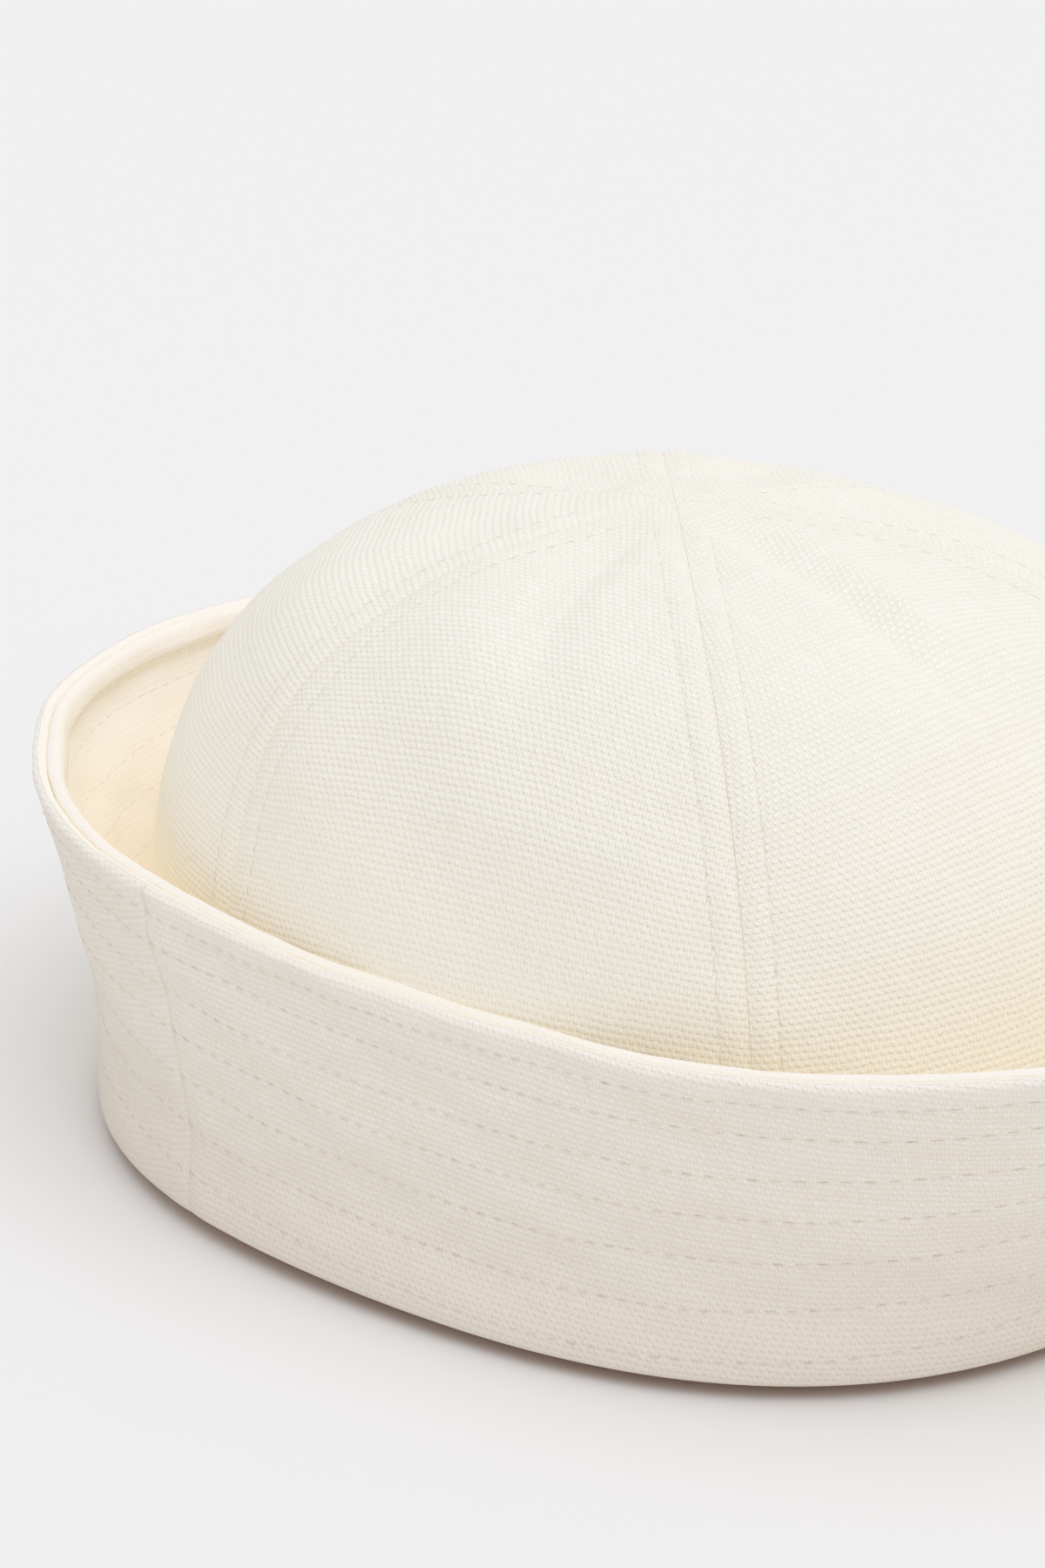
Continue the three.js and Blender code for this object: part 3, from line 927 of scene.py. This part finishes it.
def sewing_thread(name, colour):
    """Spun thread: fine slanting twist lines round the stitch, and a slightly different shade for each."""
    spun = Finish(name, 0.75)
    along, around, number = spun.lay("thread")
    twist = spun.math("SINE", (along * 4.0 + around) * TURN)
    own = spun.speckle(spun.vector(number, 0.0, 0.0))
    darker = tuple(c * 0.93 for c in colour[:3]) + (1,)
    spun.colour(spun.mix(own * 0.5 + twist * 0.15 + 0.15, colour, darker))
    spun.relief(twist, 0.00004)
    return spun.material


# Each is the shade of the weave's tops, the darker shade of its valleys, which is painted shade in its
# hollows, and a tint for patches.
CROWN_SHADES = ((0.995, 0.980, 0.915, 1), (0.925, 0.865, 0.730, 1), (0.975, 0.955, 0.875, 1))
BRIM_SHADES = ((0.980, 0.935, 0.855, 1), (0.905, 0.815, 0.690, 1), (0.955, 0.915, 0.835, 1))

crown_canvas = canvas("crown_canvas", CROWN_SHADES, (1.27, 1.25), 0.00025, True)
brim_canvas = canvas("brim_canvas", BRIM_SHADES, (1.21, 1.11), 0.00022, False)
crown_thread = sewing_thread("crown_thread", (0.985, 0.960, 0.890, 1))
brim_thread = sewing_thread("brim_thread", (0.940, 0.852, 0.715, 1))

# ---------------------------------------------------------------------------------------------------
# The cap
# ---------------------------------------------------------------------------------------------------

for number, (start, end) in enumerate(spans(SEAMS)):
    outer, inner, cloth, sewn = gore(start, end)
    attributes = {"cloth": (cloth, cloth), "sewn": (sewn, sewn)}
    piece = shell(f"canvas_gore_{number + 1}", outer, inner, attributes, crown_canvas)
    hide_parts(f"crown_gore_{number + 1}")

UPRIGHT = (0.0, -0.25)  # how far the grain leans at the middle of each band

for number, (start, end) in enumerate(spans(JOINS)):
    for kind, section, front_side, back_side in (
        ("outer", outer_ply, OUTSIDE, BETWEEN),
        ("inner", inner_ply, BETWEEN, HOLLOW),
    ):
        azimuth, front, back = section(start, end)
        front_points = brim_face(front, 1)
        back_points = brim_face(back, -1)
        front_cloth = pattern(azimuth, front_points, UPRIGHT[number])[::-1]
        back_cloth = pattern(azimuth, back_points, UPRIGHT[number])[::-1]
        attributes = {
            "cloth": (front_cloth, back_cloth),
            "sewn": (brim_sides(front, front_side), brim_sides(back, back_side)),
        }
        name = f"canvas_brim_{kind}_{number + 1}"
        piece = shell(name, front_points[::-1], back_points[::-1], attributes, brim_canvas)
        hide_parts(f"brim_{kind}_{number + 1}")

for name, bundles, spun, slot in (
    ("crown_topstitching", crown_stitches(False), crown_thread, "crown_canvas"),
    ("crown_topstitching_inside", crown_stitches(True), crown_thread, "crown_canvas"),
    ("brim_quilting", brim_stitches(False), brim_thread, "brim_canvas"),
    ("brim_quilting_inside", brim_stitches(True), crown_thread, "brim_canvas"),
):
    piece = thread_mesh(name, bundles, spun)

# ---------------------------------------------------------------------------------------------------
# Floor, light and camera
# ---------------------------------------------------------------------------------------------------

FLOOR_HALF = 45.0  # half the floor's side, in metres
floor_mesh = bpy.data.meshes.new("floor")
corners = [(x * FLOOR_HALF, y * FLOOR_HALF, 0) for x, y in ((-1, -1), (1, -1), (1, 1), (-1, 1))]
floor_mesh.from_pydata(corners, [], [(0, 1, 2, 3)])
floor = bpy.data.objects.new("floor", floor_mesh)
bpy.context.scene.collection.objects.link(floor)
paper = Finish("pale_paper", 0.9)
grain = paper.noise(paper.node("ShaderNodeTexCoord", None, 3), 900.0, 2.0)
paper.colour(paper.mix(grain * 0.03, (0.874, 0.864, 0.846, 1), (0.864, 0.854, 0.836, 1)))
floor_mesh.materials.append(paper.material)

scene = bpy.context.scene
world = bpy.data.worlds.new("studio")
scene.world = world
world.use_nodes = True
camera_heading = np.radians(30.15)  # the camera stands this far round from the cap's front
ahead = Vector((-np.sin(camera_heading), np.cos(camera_heading), 0))
right = Vector((np.cos(camera_heading), np.sin(camera_heading), 0))

ROOM_LIGHT = 0.66  # brightness of the white room at its middle
ROOM_CHANGE = 0.22  # how much brighter it is towards its bright side
bright_side = (right * 0.5 + Vector((0, 0, 1))).normalized()

room = NodeTree(world.node_tree)
direction = room.node("ShaderNodeTexCoord")
facing = room.node("ShaderNodeVectorMath", {"operation": "DOT_PRODUCT"}, 1, _0=direction, _1=bright_side)
background = room.nodes["Background"]
background.inputs["Color"].default_value = (0.99, 0.995, 1.015, 1)
room.feed(facing * ROOM_CHANGE + ROOM_LIGHT, background.inputs["Strength"])

softbox = bpy.data.lights.new("overhead_softbox", "SUN")
softbox.energy = 0.74
softbox.angle = np.radians(64)  # wide, so its shadows are soft
softbox.color = (0.97, 0.99, 1.07)
lamp = bpy.data.objects.new("overhead_softbox", softbox)
lamp_side = (right * 0.16 - ahead * 0.12 + Vector((0, 0, 1))).normalized()
lamp.rotation_mode = "QUATERNION"
lamp.rotation_quaternion = lamp_side.to_track_quat("Z", "Y")
scene.collection.objects.link(lamp)

CAMERA_DISTANCE = 623.7  # from the middle of the head opening
CAMERA_ELEVATION = np.radians(27.26)
CAMERA_PAN = np.radians(-3.32)
CAMERA_TILT = np.radians(22.41)
CAMERA_LENS = 78.885
opening = Vector((CENTRE_X, 0.4, 0))
level = CAMERA_DISTANCE * np.cos(CAMERA_ELEVATION)
stand = opening - ahead * level + Vector((0, 0, CAMERA_DISTANCE * np.sin(CAMERA_ELEVATION)))
aim = (ahead * np.cos(CAMERA_PAN) + right * np.sin(CAMERA_PAN)) * np.cos(CAMERA_TILT)
aim -= Vector((0, 0, np.sin(CAMERA_TILT)))
camera_data = bpy.data.cameras.new("camera")
camera_data.sensor_width = 36
camera_data.lens = CAMERA_LENS
camera_data.clip_start = 0.01
camera_data.clip_end = 100
camera = bpy.data.objects.new("camera", camera_data)
camera.location = stand * MM
camera.rotation_mode = "QUATERNION"
camera.rotation_quaternion = aim.to_track_quat("-Z", "Y")
scene.collection.objects.link(camera)
scene.camera = camera

scene.cycles.diffuse_bounces = 10
scene.view_settings.view_transform = "Standard"
scene.view_settings.look = "None"
